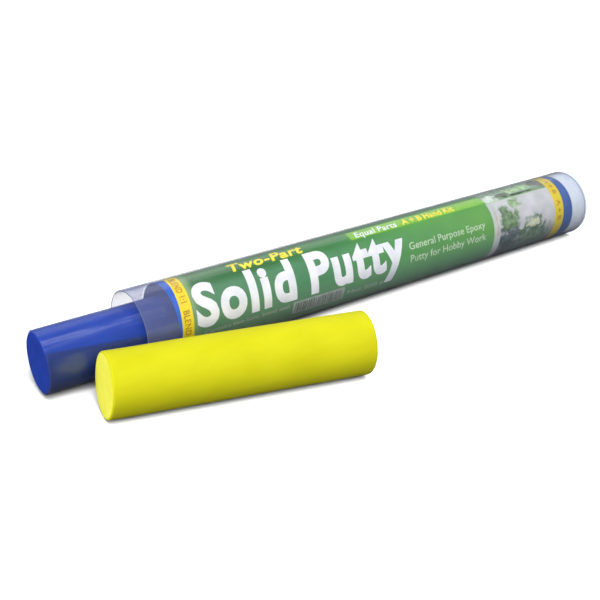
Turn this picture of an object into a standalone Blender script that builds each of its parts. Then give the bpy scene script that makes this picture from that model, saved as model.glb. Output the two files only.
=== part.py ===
"""Two-part epoxy putty kit for model makers.

A clear thin-walled tube lies on its side with a printed sheet rolled up inside it. A plug closes
its far end. The plug of the near end has been pulled out and stands behind the tube. A blue putty
bar in a clear film sleeve lies in the bore and stands part of the way out of the mouth, and a
yellow putty bar without film lies in front of the tube.

Frame: metres, +Z up, +X along the tube from its mouth to its closed end, the surface it lies on
at Z = 0. The tube is modelled with its mouth at X = 0 and its axis above Y = 0, and the whole kit
is centred on the origin at the end.
"""
import math

import bmesh
import bpy
from mathutils import Vector

MM = 0.001
SEGMENTS = 72

# Tube, open at both ends
TUBE_RADIUS = 16.0 * MM
TUBE_WALL = 0.5 * MM
TUBE_LENGTH = 248.8 * MM
RIM_CHAMFER = 0.12 * MM

# Printed sheet rolled up against the bore, with an open seam low on the far side
LABEL_GAP = 0.15 * MM
LABEL_THICKNESS = 0.2 * MM
LABEL_START = 15.2 * MM
LABEL_TO_PLUG = 0.3 * MM
LABEL_SEAM_DEG = 200.0
LABEL_SEAM_WIDTH_DEG = 10.0

# Push-in plug: a cup that opens outwards, with a flange as wide as the tube
PLUG_DEPTH = 9.0 * MM
PLUG_RADIUS = 15.2 * MM
PLUG_TAPER = 0.15 * MM
PLUG_LEAD_IN = 0.6 * MM
PLUG_WALL = 1.1 * MM
PLUG_FLOOR = 1.0 * MM
PLUG_BEAD_HEIGHT = 0.15 * MM
PLUG_BEAD_WIDTH = 0.8 * MM
PLUG_BEAD_PLACES = (0.3, 0.62)
FLANGE_THICKNESS = 1.0 * MM
FLANGE_GAP = 0.2 * MM
FLANGE_ROUND = 0.25 * MM
FRONT_PLUG_X = 70.0 * MM
FRONT_PLUG_Y = 31.4 * MM

# Putty bars
BAR_LENGTH = 101.6 * MM
BAR_EDGE = 0.4 * MM
BLUE_RADIUS = 12.45 * MM
BLUE_OUT_OF_MOUTH = 38.7 * MM
BLUE_SIDE_OFFSET = -1.0 * MM
BLUE_GAP_TO_LABEL = 0.17 * MM
YELLOW_RADIUS = 12.7 * MM
YELLOW_END_X = -25.3 * MM
YELLOW_END_Y = -28.8 * MM
YELLOW_YAW_DEG = -16.2

# The ends are cut by hand, a few degrees off square: (lean of the top, lean of the -Y side)
BLUE_OUTER_CUT_DEG = (1.1, -2.5)
BLUE_INNER_CUT_DEG = (0.8, 1.5)
YELLOW_NEAR_CUT_DEG = (6.7, 5.1)
YELLOW_FAR_CUT_DEG = (3.6, 2.8)

# Clear film round the blue bar, open at both ends
FILM_GAP = 0.13 * MM
FILM_THICKNESS = 0.15 * MM
FILM_OVERHANG = 0.4 * MM

FILM_OUTER_RADIUS = BLUE_RADIUS + FILM_GAP + FILM_THICKNESS
BORE_RADIUS = TUBE_RADIUS - TUBE_WALL
LABEL_OUTER_RADIUS = BORE_RADIUS - LABEL_GAP
LABEL_INNER_RADIUS = LABEL_OUTER_RADIUS - LABEL_THICKNESS
REAR_FLANGE_X = TUBE_LENGTH + FLANGE_GAP


def clear_scene():
    for old in list(bpy.data.objects):
        bpy.data.objects.remove(old, do_unlink=True)


def make_material(name, colour, roughness, alpha=1.0):
    material = bpy.data.materials.new(name)
    material.use_nodes = True
    shader = material.node_tree.nodes["Principled BSDF"]
    shader.inputs["Base Color"].default_value = (*colour, 1.0)
    shader.inputs["Roughness"].default_value = roughness
    shader.inputs["Metallic"].default_value = 0.0
    shader.inputs["Alpha"].default_value = alpha
    return material


def add_object(name, bm, material, parent, location=(0.0, 0.0, 0.0), rotation=(0.0, 0.0, 0.0)):
    """Turn a bmesh into a named object with its faces pointing out."""
    bmesh.ops.recalc_face_normals(bm, faces=bm.faces)
    mesh = bpy.data.meshes.new(name)
    bm.to_mesh(mesh)
    bm.free()
    mesh.shade_smooth()
    mesh.set_sharp_from_angle(angle=math.radians(30.0))
    mesh.materials.append(material)
    obj = bpy.data.objects.new(name, mesh)
    bpy.context.collection.objects.link(obj)
    obj.parent = parent
    obj.location = location
    obj.rotation_euler = rotation
    return obj


def ring(bm, x, radius, angles):
    """Points round the X axis; an angle runs from +Z towards -Y. A zero radius is one point."""
    if radius == 0.0:
        return [bm.verts.new((x, 0.0, 0.0))] * len(angles)
    return [bm.verts.new((x, -radius * math.sin(a), radius * math.cos(a))) for a in angles]


def join_rings(bm, first, second, closed):
    count = len(first)
    for i in range(count if closed else count - 1):
        j = (i + 1) % count
        corners = []
        for vert in (first[i], first[j], second[j], second[i]):
            if vert not in corners:
                corners.append(vert)
        bm.faces.new(corners)


def full_turn():
    return [2.0 * math.pi * i / SEGMENTS for i in range(SEGMENTS)]


def turned_loop(profile):
    """Revolve a closed outline of (x, radius) that stays off the axis."""
    bm = bmesh.new()
    rings = [ring(bm, x, radius, full_turn()) for x, radius in profile]
    for i, current in enumerate(rings):
        join_rings(bm, rings[i - 1], current, closed=True)
    return bm


def turned_solid(profile):
    """Revolve an open outline of (x, radius) that starts and ends on the axis."""
    bm = bmesh.new()
    rings = [ring(bm, x, radius, full_turn()) for x, radius in profile]
    for before, after in zip(rings, rings[1:]):
        join_rings(bm, before, after, closed=True)
    return bm


def tube_outline():
    """Wall of the tube with a small chamfer on all four edges."""
    c = RIM_CHAMFER
    outer = TUBE_RADIUS
    inner = BORE_RADIUS
    return [
        (c, outer),
        (TUBE_LENGTH - c, outer),
        (TUBE_LENGTH, outer - c),
        (TUBE_LENGTH, inner + c),
        (TUBE_LENGTH - c, inner),
        (c, inner),
        (0.0, inner + c),
        (0.0, outer - c),
    ]


def label_sheet():
    """A sheet rolled into an open ring, its seam left open by LABEL_SEAM_WIDTH_DEG."""
    step = 360.0 / SEGMENTS
    first = LABEL_SEAM_DEG + LABEL_SEAM_WIDTH_DEG / 2.0
    count = round((360.0 - LABEL_SEAM_WIDTH_DEG) / step)
    angles = [math.radians(first + step * i) for i in range(count + 1)]
    end = REAR_FLANGE_X - PLUG_DEPTH - LABEL_TO_PLUG
    outline = [
        (LABEL_START, LABEL_OUTER_RADIUS),
        (end, LABEL_OUTER_RADIUS),
        (end, LABEL_INNER_RADIUS),
        (LABEL_START, LABEL_INNER_RADIUS),
    ]
    bm = bmesh.new()
    rings = [ring(bm, x, radius, angles) for x, radius in outline]
    for i, current in enumerate(rings):
        join_rings(bm, rings[i - 1], current, closed=False)
    bm.faces.new([r[0] for r in rings])
    bm.faces.new([r[-1] for r in rings])
    return bm


def plug_side_radius(depth):
    """The plug narrows a little towards its inner end."""
    return PLUG_RADIUS - PLUG_TAPER * depth / PLUG_DEPTH


def bead(place):
    """One sealing bead on the plug's side: three points, from the inner end outwards."""
    centre = PLUG_DEPTH * place
    points = []
    for offset, height in ((0.5, 0.0), (0.0, PLUG_BEAD_HEIGHT), (-0.5, 0.0)):
        depth = centre + offset * PLUG_BEAD_WIDTH
        points.append((-depth, plug_side_radius(depth) + height))
    return points


def plug_outline():
    """Half section of the plug. X = 0 is the flange's inner face and +X points out of the tube."""
    bottom = plug_side_radius(PLUG_DEPTH)
    recess_floor = bottom - PLUG_WALL
    outline = [(-PLUG_DEPTH, 0.0), (-PLUG_DEPTH, bottom - PLUG_LEAD_IN)]
    outline.append((PLUG_LEAD_IN - PLUG_DEPTH, plug_side_radius(PLUG_DEPTH - PLUG_LEAD_IN)))
    for place in sorted(PLUG_BEAD_PLACES, reverse=True):
        outline.extend(bead(place))
    outline.append((0.0, PLUG_RADIUS))
    outline.append((0.0, TUBE_RADIUS - FLANGE_ROUND))
    outline.append((FLANGE_ROUND, TUBE_RADIUS))
    outline.append((FLANGE_THICKNESS - FLANGE_ROUND, TUBE_RADIUS))
    outline.append((FLANGE_THICKNESS, TUBE_RADIUS - FLANGE_ROUND))
    outline.append((FLANGE_THICKNESS, PLUG_RADIUS - PLUG_WALL))
    outline.append((PLUG_FLOOR - PLUG_DEPTH, recess_floor))
    outline.append((PLUG_FLOOR - PLUG_DEPTH, 0.0))
    return outline


def slant_ends(bm, near_cut_deg, far_cut_deg):
    """Lean the two ends of a bar that is centred on the origin and lies along X."""
    for vert in bm.verts:
        lean_top, lean_side = near_cut_deg if vert.co.x < 0.0 else far_cut_deg
        shift = vert.co.z * math.tan(math.radians(lean_top))
        shift -= vert.co.y * math.tan(math.radians(lean_side))
        vert.co.x += shift


def bar_solid(radius, near_cut_deg, far_cut_deg):
    """A putty bar centred on the origin, with softened edges and slanted ends."""
    half = BAR_LENGTH / 2.0
    corner = []
    for turn in (90.0, 45.0, 0.0):
        a = math.radians(turn)
        corner.append((half - BAR_EDGE * (1.0 - math.sin(a)), radius - BAR_EDGE * (1.0 - math.cos(a))))
    outline = [(-half, 0.0)]
    outline += [(-x, r) for x, r in corner]
    outline += reversed(corner)
    outline.append((half, 0.0))
    bm = turned_solid(outline)
    slant_ends(bm, near_cut_deg, far_cut_deg)
    return bm


def film_sleeve():
    """A thin sleeve round the blue bar, a little longer than the bar and cut to the same slant."""
    half = BAR_LENGTH / 2.0 + FILM_OVERHANG
    inner = FILM_OUTER_RADIUS - FILM_THICKNESS
    bm = turned_loop([(-half, FILM_OUTER_RADIUS), (half, FILM_OUTER_RADIUS), (half, inner), (-half, inner)])
    slant_ends(bm, BLUE_OUTER_CUT_DEG, BLUE_INNER_CUT_DEG)
    return bm


def blue_bar_centre():
    """The wrapped bar lies on the label, a little up its near side."""
    clearance = LABEL_INNER_RADIUS - FILM_OUTER_RADIUS - BLUE_GAP_TO_LABEL
    drop = math.sqrt(clearance**2 - BLUE_SIDE_OFFSET**2)
    return (BAR_LENGTH / 2.0 - BLUE_OUT_OF_MOUTH, BLUE_SIDE_OFFSET, TUBE_RADIUS - drop)


def yellow_bar_centre():
    yaw = math.radians(YELLOW_YAW_DEG)
    half = BAR_LENGTH / 2.0
    return (YELLOW_END_X + half * math.cos(yaw), YELLOW_END_Y + half * math.sin(yaw), YELLOW_RADIUS)


def centre_on_origin(kit, pieces):
    """Slide the kit so that the middle of its footprint is at X = Y = 0."""
    bpy.context.view_layer.update()
    points = [piece.matrix_world @ vert.co for piece in pieces for vert in piece.data.vertices]
    low = Vector(min(p[i] for p in points) for i in range(3))
    high = Vector(max(p[i] for p in points) for i in range(3))
    middle = (low + high) / 2.0
    kit.location = (-middle.x, -middle.y, 0.0)


def build_tube(kit, clear_plastic, print_paper):
    on_axis = (0.0, 0.0, TUBE_RADIUS)
    return [
        add_object("clear_tube", turned_loop(tube_outline()), clear_plastic, kit, on_axis),
        add_object("printed_label", label_sheet(), print_paper, kit, on_axis),
    ]


def build_plugs(kit, plug_plastic):
    rear_place = (REAR_FLANGE_X, 0.0, TUBE_RADIUS)
    front_place = (FRONT_PLUG_X, FRONT_PLUG_Y, FLANGE_THICKNESS)
    flange_down = (0.0, math.radians(90.0), 0.0)
    return [
        add_object("rear_plug", turned_solid(plug_outline()), plug_plastic, kit, rear_place),
        add_object("front_plug", turned_solid(plug_outline()), plug_plastic, kit, front_place, flange_down),
    ]


def build_blue_bar(kit, blue_putty, clear_film):
    centre = blue_bar_centre()
    bar = bar_solid(BLUE_RADIUS, BLUE_OUTER_CUT_DEG, BLUE_INNER_CUT_DEG)
    return [
        add_object("blue_putty_bar", bar, blue_putty, kit, centre),
        add_object("blue_film_wrap", film_sleeve(), clear_film, kit, centre),
    ]


def build_yellow_bar(kit, yellow_putty):
    turn = (0.0, 0.0, math.radians(YELLOW_YAW_DEG))
    bar = bar_solid(YELLOW_RADIUS, YELLOW_NEAR_CUT_DEG, YELLOW_FAR_CUT_DEG)
    return [add_object("yellow_putty_bar", bar, yellow_putty, kit, yellow_bar_centre(), turn)]


def main():
    clear_scene()
    kit = bpy.data.objects.new("putty_kit", None)
    bpy.context.collection.objects.link(kit)
    clear_plastic = make_material("clear_plastic", (0.88, 0.91, 0.94), 0.08, alpha=0.25)
    print_paper = make_material("label_print", (0.10, 0.32, 0.14), 0.35)
    plug_plastic = make_material("plug_plastic", (0.72, 0.78, 0.86), 0.4, alpha=0.85)
    blue_putty = make_material("blue_putty", (0.03, 0.06, 0.36), 0.5)
    yellow_putty = make_material("yellow_putty", (0.86, 0.79, 0.02), 0.5)
    clear_film = make_material("clear_film", (0.90, 0.92, 0.97), 0.12, alpha=0.2)
    pieces = build_tube(kit, clear_plastic, print_paper)
    pieces += build_plugs(kit, plug_plastic)
    pieces += build_blue_bar(kit, blue_putty, clear_film)
    pieces += build_yellow_bar(kit, yellow_putty)
    centre_on_origin(kit, pieces)


main()
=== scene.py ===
"""Looks of the two-part epoxy putty kit: a clear tube with a printed sheet rolled up inside it, its
two plugs, a blue putty bar in clear film and a bare yellow putty bar.

Every piece stands where the CAD frame has it. A place on the tube is given by its distance from
the mouth, its angle round the axis (from straight up, towards -Y) and its distance from the axis.
"""
import math

import bmesh
import bpy
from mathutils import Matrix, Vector, noise


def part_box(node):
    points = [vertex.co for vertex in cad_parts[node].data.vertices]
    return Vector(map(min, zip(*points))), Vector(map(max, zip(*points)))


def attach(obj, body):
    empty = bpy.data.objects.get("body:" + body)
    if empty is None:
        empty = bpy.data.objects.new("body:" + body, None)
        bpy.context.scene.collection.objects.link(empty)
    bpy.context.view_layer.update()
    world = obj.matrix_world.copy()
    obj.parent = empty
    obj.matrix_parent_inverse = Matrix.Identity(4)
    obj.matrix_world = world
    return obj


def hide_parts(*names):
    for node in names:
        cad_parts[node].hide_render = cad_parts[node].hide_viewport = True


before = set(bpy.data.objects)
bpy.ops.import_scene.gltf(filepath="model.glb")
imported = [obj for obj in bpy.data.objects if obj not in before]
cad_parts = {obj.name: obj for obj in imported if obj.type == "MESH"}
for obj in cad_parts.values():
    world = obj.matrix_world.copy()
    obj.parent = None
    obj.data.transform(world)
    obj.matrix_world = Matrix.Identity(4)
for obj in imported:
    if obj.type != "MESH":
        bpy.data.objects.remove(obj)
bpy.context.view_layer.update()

MM = 0.001
SEGMENTS = 160

# Camera, aimed at a point on the floor
CAMERA_AZIMUTH_DEG = -35.677
CAMERA_ELEVATION_DEG = 25.357
CAMERA_DISTANCE = 473.54 * MM
CAMERA_LENS_MM = 62.93
AIM_FROM_MOUTH = 90.0 * MM
AIM_BEHIND_AXIS = 10.4 * MM

# Tube and plugs. A COVER is the share of what lies behind that a clear sheet hides.
TUBE_WALL = 0.5 * MM
SHELL_COVER = 0.04
SHELL_IOR = 6.0
# The mouth's extra cover, its bluish shades and its length carry a painted veil of the wall's
# reflection over the blue bar.
MOUTH_COVER = 0.28
MOUTH_IOR = 2.2
MOUTH_VEIL_LENGTH = 14.0 * MM
RIM_ROUND = 0.16 * MM
RIM_ALPHA = 0.8
PLUG_ALPHA = 0.86
PLUG_TOP_ROUND = 0.35 * MM
PLUG_WALL = 1.1 * MM
PLUG_FLOOR = 1.0 * MM
PLUG_RADIUS = 15.2 * MM
PLUG_TAPER = 0.15 * MM
PLUG_BEAD_HEIGHT = 0.15 * MM
PLUG_BEAD_WIDTH = 1.0 * MM
PLUG_BEAD_PLACES = (0.3, 0.62)
FLANGE_THICKNESS = 1.0 * MM
PLUG_LEAD_IN = 0.8 * MM

# Moulded ring and gate on a plug's floor, as (radius, height) in mm
PLUG_FLOOR_MARKS = (
    (6.2, 0.0),
    (6.0, 0.12),
    (5.6, 0.12),
    (5.4, 0.0),
    (1.3, 0.0),
    (1.0, 0.3),
    (0.0, 0.3),
)

# Label, as distances from the tube's mouth in mm and angles in degrees
LABEL_THICKNESS = 0.2 * MM
LABEL_LAP = 0.9 * MM
PRINT_SKEW = 1.7 * MM
PRINT_SQUARE_DEG = 30.0
SEAM_START_DEG = -155.0
SEAM_END_DEG = 195.0
FRONT_BLUE_END = 16.9
FRONT_YELLOW_END = 22.1
GREEN_END = 186.5
PICTURE_END = 228.5
REAR_YELLOW_END = 234.6
STRIPE_START = 106.0
STRIPE_TOP_DEG = -1.0
STRIPE_BOTTOM_DEG = 21.0
PICTURE_FRAME_DEG = 24.0
FRAME_LINE_DEG = 1.6
MARGIN_END = 190.6
INK_LIFT = 0.02 * MM
INK_THICKNESS = 0.015 * MM
INK_STEP = 0.8 * MM
LETTER_RESOLUTION = 5
LETTER_GAP_OF_BOLD = 3.0
WORD_GAP_OF_BOLD = 10.0
CODE_FIRST_BAR = 71.2
CODE_LAST_BAR = 95.6

# Putty bars and film
BAR_EDGE = 0.7 * MM
EDGE_TURNS_DEG = (90.0, 68.0, 45.0, 22.0, 0.0)
BAR_RINGS = 110
CAP_RINGS = 7
FILM_THICKNESS = 0.15 * MM
FILM_OVERHANG = 0.4 * MM
FILM_COVER = 0.035
LAP_COVER = 0.06
# The lap strip lies on the blue bar's lower side. The darker colours under it are painted shade.
LAP_START_DEG = 50.0
LAP_TWIST_DEG = 48.0
LAP_END_DEG = 160.0
LAP_SOFT_DEG = 2.0
LAP_STEP = 0.1 * MM
CREASE_DEPTH = 0.16 * MM
SWELL_DEPTH = 0.12 * MM
DENT_DEPTH = 0.16 * MM
FINE_DENT_DEPTH = 0.05 * MM

# Studio
FLOOR_SIZE = 12.0
FLOOR_GAP = 0.02 * MM
BACKDROP_RADIUS = 5.76
FLOOR_SUN = 7.0
FLOOR_SUN_SPREAD_DEG = 38.0
FLOOR_SUN_WAY = (0.1, 0.85, -1.05)

# Lamps that face the object: name, place, width, height, power, mirrored in glossy surfaces
SOFTBOXES = (
    ("key_box", (-0.15, -0.55, 1.2), 1.4, 1.0, 12.0, False),
    ("front_box", (-0.6, -1.1, 0.7), 1.2, 0.7, 8.0, False),
    ("back_box", (0.25, 1.0, 0.9), 2.6, 0.7, 4.5, True),
    ("side_box", (-1.3, 0.1, 0.35), 1.0, 0.6, 10.5, False),
    ("right_box", (1.2, -0.2, 0.6), 1.0, 0.6, 5.0, False),
)
STREAK_STRIP = ("streak_strip", (0.64, -0.2, 1.0), 0.12, 1.6, 5.0, True)


# ----------------------------------------------------------
# Frame: where the CAD pieces are
# ----------------------------------------------------------

TUBE_LOW, TUBE_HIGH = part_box("clear_tube")
LABEL_LOW, LABEL_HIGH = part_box("printed_label")
TUBE_RADIUS = (TUBE_HIGH.z - TUBE_LOW.z) / 2.0
TUBE_LENGTH = TUBE_HIGH.x - TUBE_LOW.x
AXIS_Y = (TUBE_LOW.y + TUBE_HIGH.y) / 2.0
AXIS_Z = (TUBE_LOW.z + TUBE_HIGH.z) / 2.0
LABEL_RADIUS = (LABEL_HIGH.y - LABEL_LOW.y) / 2.0
LABEL_START = LABEL_LOW.x - TUBE_LOW.x
LABEL_END = LABEL_HIGH.x - TUBE_LOW.x


def on_tube(along, angle, radius):
    """A point by its distance from the mouth, its angle from straight up and its radius."""
    y = AXIS_Y - radius * math.sin(angle)
    z = AXIS_Z + radius * math.cos(angle)
    return Vector((TUBE_LOW.x + along, y, z))


def roll_skew(angle):
    """How far the print is shifted along the tube at an angle, as the sheet is rolled askew."""
    return PRINT_SKEW * math.sin(math.radians(PRINT_SQUARE_DEG) - angle)


def measure_bar(node):
    """Centre, axes, radius, half length and end slants of a bar, from its CAD mesh."""
    corners = {tuple(round(c, 7) for c in vert.co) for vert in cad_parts[node].data.vertices}
    points = [Vector(corner) for corner in sorted(corners)]
    low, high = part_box(node)
    middle_x = (low.x + high.x) / 2.0
    ends = [[p for p in points if p.x < middle_x], [p for p in points if p.x >= middle_x]]
    near, far = [sum(group, Vector()) / len(group) for group in ends]
    along = (far - near).normalized()
    up = Vector((0.0, 0.0, 1.0))
    side = up.cross(along)
    centre = (near + far) / 2.0
    slants = []
    for group in ends:
        offsets = [p - centre for p in group]
        mean = sum(o.dot(along) for o in offsets) / len(offsets)
        for axis in (side, up):
            top = sum((o.dot(along) - mean) * o.dot(axis) for o in offsets)
            slants.append(top / sum(o.dot(axis) ** 2 for o in offsets))
    half = 0.0
    for group, (side_slant, up_slant) in zip(ends, (slants[:2], slants[2:])):
        for offset in (p - centre for p in group):
            leaning = offset.dot(side) * side_slant + offset.dot(up) * up_slant
            half = max(half, abs(offset.dot(along) - leaning))
    return {
        "centre": centre,
        "along": along,
        "side": side,
        "up": up,
        "radius": (high.z - low.z) / 2.0,
        "half": half,
        "slants": slants,
    }


# ----------------------------------------------------------
# Mesh helpers
# ----------------------------------------------------------

def join(bm, first, second, closed, slot=0):
    """Faces between two rows of vertices. A row of one vertex is a pole."""
    count = max(len(first), len(second))
    for i in range(count if closed else count - 1):
        j = (i + 1) % count
        corners = [
            first[i % len(first)],
            first[j % len(first)],
            second[j % len(second)],
            second[i % len(second)],
        ]
        face = bm.faces.new(list(dict.fromkeys(corners)))
        face.material_index = slot


def softened(outline, radius, closed, steps=3):
    """An outline with each corner cut back by radius along its sides and rounded."""
    result = []
    count = len(outline)
    for i, corner in enumerate(outline):
        if not closed and i in (0, count - 1):
            result.append(corner)
            continue
        here = Vector(corner)
        before = Vector(outline[i - 1])
        after = Vector(outline[(i + 1) % count])
        back = min(radius, (before - here).length * 0.45, (after - here).length * 0.45)
        start = here + (before - here).normalized() * back
        end = here + (after - here).normalized() * back
        for k in range(steps + 1):
            t = k / steps
            point = start * (1 - t) ** 2 + here * 2 * t * (1 - t) + end * t**2
            result.append(tuple(point))
    return result


def full_turn():
    """Evenly spaced angles once round a circle."""
    return [2.0 * math.pi * i / SEGMENTS for i in range(SEGMENTS)]


def turned(outline, place, closed, slot_of=None):
    """Revolve an outline of (along, radius) by place(along, angle, radius)."""
    bm = bmesh.new()
    rows = []
    for along, radius in outline:
        angles = full_turn() if radius > 0.0 else [0.0]
        rows.append([bm.verts.new(place(along, a, radius)) for a in angles])
    last = len(rows) if closed else len(rows) - 1
    for i in range(last):
        j = (i + 1) % len(rows)
        slot = slot_of(outline[i], outline[j]) if slot_of else 0
        join(bm, rows[i], rows[j], closed=True, slot=slot)
    return bm


def add_piece(name, bm, materials, body, sharp_deg=35.0):
    """Turn a bmesh into a named piece that rides on a CAD body."""
    bmesh.ops.recalc_face_normals(bm, faces=bm.faces)
    mesh = bpy.data.meshes.new(name)
    bm.to_mesh(mesh)
    bm.free()
    mesh.shade_smooth()
    mesh.set_sharp_from_angle(angle=math.radians(sharp_deg))
    for material in materials:
        mesh.materials.append(material)
    piece = bpy.data.objects.new(name, mesh)
    bpy.context.scene.collection.objects.link(piece)
    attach(piece, body)
    return piece


# ----------------------------------------------------------
# Material helpers
# ----------------------------------------------------------

def srgb(red, green, blue):
    """A linear colour from 8-bit display values."""
    def linear(value):
        v = value / 255.0
        return v / 12.92 if v <= 0.04045 else ((v + 0.055) / 1.055) ** 2.4
    return (linear(red), linear(green), linear(blue), 1.0)


class Paint:
    """A new material with a Principled shader, and short calls for the nodes that feed it."""

    def __init__(self, name, roughness=0.5, specular=0.5, ior=1.5):
        self.material = bpy.data.materials.new(name)
        self.material.use_nodes = True
        self.tree = self.material.node_tree
        self.shader = self.tree.nodes["Principled BSDF"]
        self.shader.inputs["Roughness"].default_value = roughness
        self.shader.inputs["Specular IOR Level"].default_value = specular
        self.shader.inputs["IOR"].default_value = ior

    def node(self, kind, **values):
        node = self.tree.nodes.new(kind)
        for key, value in values.items():
            setattr(node, key, value)
        return node

    def link(self, source, target):
        self.tree.links.new(source, target)

    def place(self, stretch=(1.0, 1.0, 1.0)):
        """Object coordinates in metres, stretched."""
        coords = self.node("ShaderNodeTexCoord")
        mapping = self.node("ShaderNodeMapping")
        mapping.inputs["Scale"].default_value = stretch
        self.link(coords.outputs["Object"], mapping.inputs["Vector"])
        return mapping.outputs["Vector"]

    def axes(self):
        """Object coordinates X, Y and Z in metres."""
        split = self.node("ShaderNodeSeparateXYZ")
        self.link(self.place(), split.inputs["Vector"])
        return split.outputs["X"], split.outputs["Y"], split.outputs["Z"]

    def noise(self, size, detail=3.0, stretch=(1.0, 1.0, 1.0)):
        """Noise whose lumps are about size metres across."""
        texture = self.node("ShaderNodeTexNoise")
        texture.inputs["Scale"].default_value = 1.0 / size
        texture.inputs["Detail"].default_value = detail
        self.link(self.place(stretch), texture.inputs["Vector"])
        return texture.outputs["Fac"]

    def ramp(self, source, stops):
        """A colour ramp with stops of (place, colour)."""
        ramp = self.node("ShaderNodeValToRGB")
        elements = ramp.color_ramp.elements
        while len(elements) < len(stops):
            elements.new(0.5)
        for element, (position, colour) in zip(elements, stops):
            element.position = position
            element.color = colour
        self.link(source, ramp.inputs["Fac"])
        return ramp.outputs["Color"]

    def span(self, source, low, high, from_low=0.0, from_high=1.0):
        """Map a value from one range to another."""
        span = self.node("ShaderNodeMapRange")
        span.inputs["From Min"].default_value = from_low
        span.inputs["From Max"].default_value = from_high
        span.inputs["To Min"].default_value = low
        span.inputs["To Max"].default_value = high
        self.link(source, span.inputs["Value"])
        return span.outputs["Result"]

    def mix(self, factor, first, second):
        """Blend two colours by a factor. Each of the three is an output or a plain value."""
        mix = self.node("ShaderNodeMix", data_type="RGBA")
        slots = ((mix.inputs[0], factor), (mix.inputs[6], first), (mix.inputs[7], second))
        for socket, value in slots:
            if isinstance(value, (int, float, tuple)):
                socket.default_value = value
            else:
                self.link(value, socket)
        return mix.outputs[2]

    def math(self, operation, first, second):
        node = self.node("ShaderNodeMath", operation=operation)
        for socket, value in zip(node.inputs, (first, second)):
            if isinstance(value, (int, float)):
                socket.default_value = value
            else:
                self.link(value, socket)
        return node.outputs[0]

    def uv(self):
        """The two label coordinates: along the tube and round it, both from 0 to 1."""
        uv = self.node("ShaderNodeUVMap", uv_map="print")
        split = self.node("ShaderNodeSeparateXYZ")
        self.link(uv.outputs["UV"], split.inputs["Vector"])
        return split.outputs["X"], split.outputs["Y"]

    def colour(self, source):
        self.link(source, self.shader.inputs["Base Color"])

    def roughness(self, source):
        self.link(source, self.shader.inputs["Roughness"])

    def bump(self, layers):
        """Stack bumps of (height source, depth in metres)."""
        last = None
        for source, depth in layers:
            bump = self.node("ShaderNodeBump")
            bump.inputs["Strength"].default_value = 1.0
            bump.inputs["Distance"].default_value = depth
            self.link(source, bump.inputs["Height"])
            if last is not None:
                self.link(last, bump.inputs["Normal"])
            last = bump.outputs["Normal"]
        self.link(last, self.shader.inputs["Normal"])

    def oval(self, place, along, angle_deg, wide, tall_deg, wobble):
        """1 inside an uneven oval of the print, 0 outside. Half sizes are in mm and degrees."""
        u_size = label_u(along + wide) - label_u(along)
        v_size = label_v(angle_deg + tall_deg) - label_v(angle_deg)
        across = self.math("DIVIDE", self.math("SUBTRACT", place[0], label_u(along)), u_size)
        down = self.math("DIVIDE", self.math("SUBTRACT", place[1], label_v(angle_deg)), v_size)
        across = self.math("MULTIPLY", across, across)
        down = self.math("MULTIPLY", down, down)
        distance = self.math("POWER", self.math("ADD", across, down), 0.5)
        reach = self.math("ADD", distance, wobble)
        return self.span(reach, 1.0, 0.0, 0.74, 1.24)

    def see_through(self, cover):
        """Clear sheet: its Alpha is what it hides (cover), and by Schlick's rule more at a glancing
        angle. The shader's own IOR is set high because Alpha also scales its reflection."""
        weight = self.node("ShaderNodeLayerWeight")
        weight.inputs["Blend"].default_value = 0.5
        edge = self.math("POWER", weight.outputs["Facing"], 5.0)
        uncovered = self.math("SUBTRACT", 1.0, cover)
        passed = self.math("MULTIPLY", uncovered, self.math("SUBTRACT", 1.0, edge))
        self.link(self.math("SUBTRACT", 1.0, passed), self.shader.inputs["Alpha"])


# ----------------------------------------------------------
# Clear and milky plastics
# ----------------------------------------------------------

def shell_material(name, cover, ior, shades):
    """Clear extruded tube: fine draw lines along it and faint scuffs."""
    paint = Paint(name, ior=ior)
    scuffs = paint.noise(9 * MM, detail=5.0, stretch=(0.4, 1.0, 1.0))
    lines = paint.noise(1.2 * MM, detail=2.0, stretch=(0.01, 1.0, 1.0))
    paint.colour(paint.ramp(scuffs, [(0.35, shades[0]), (0.7, shades[1])]))
    paint.roughness(paint.span(scuffs, 0.05, 0.16, 0.35, 0.75))
    paint.bump([(lines, 0.006 * MM)])
    paint.see_through(cover)
    return paint.material


def rim_material(name, dark, light):
    """Cut edge of the tube, faintly rough from the saw, in the tones the caller gives. These tones
    are painted light and shade, not the plastic's own colour.
    """
    paint = Paint(name, ior=1.5)
    saw = paint.noise(0.5 * MM, detail=3.0)
    paint.colour(paint.ramp(saw, [(0.3, dark), (0.7, light)]))
    paint.roughness(paint.span(saw, 0.25, 0.45))
    paint.bump([(saw, 0.02 * MM)])
    paint.shader.inputs["Alpha"].default_value = RIM_ALPHA
    return paint.material


def plug_material():
    """Milky natural polyethylene, slightly bluish, with a faint moulded grain."""
    paint = Paint("milky_plug", specular=0.2)
    cloud = paint.noise(6 * MM, detail=2.0)
    grain = paint.noise(0.35 * MM, detail=2.0)
    paint.colour(paint.ramp(cloud, [(0.3, srgb(216, 226, 244)), (0.7, srgb(226, 235, 250))]))
    paint.roughness(paint.span(grain, 0.4, 0.56))
    paint.bump([(cloud, 0.05 * MM), (grain, 0.008 * MM)])
    paint.shader.inputs["Alpha"].default_value = PLUG_ALPHA
    paint.shader.inputs["Subsurface Weight"].default_value = 0.3
    paint.shader.inputs["Subsurface Radius"].default_value = (1.0, 1.0, 1.0)
    paint.shader.inputs["Subsurface Scale"].default_value = 2.0 * MM
    return paint.material


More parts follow.
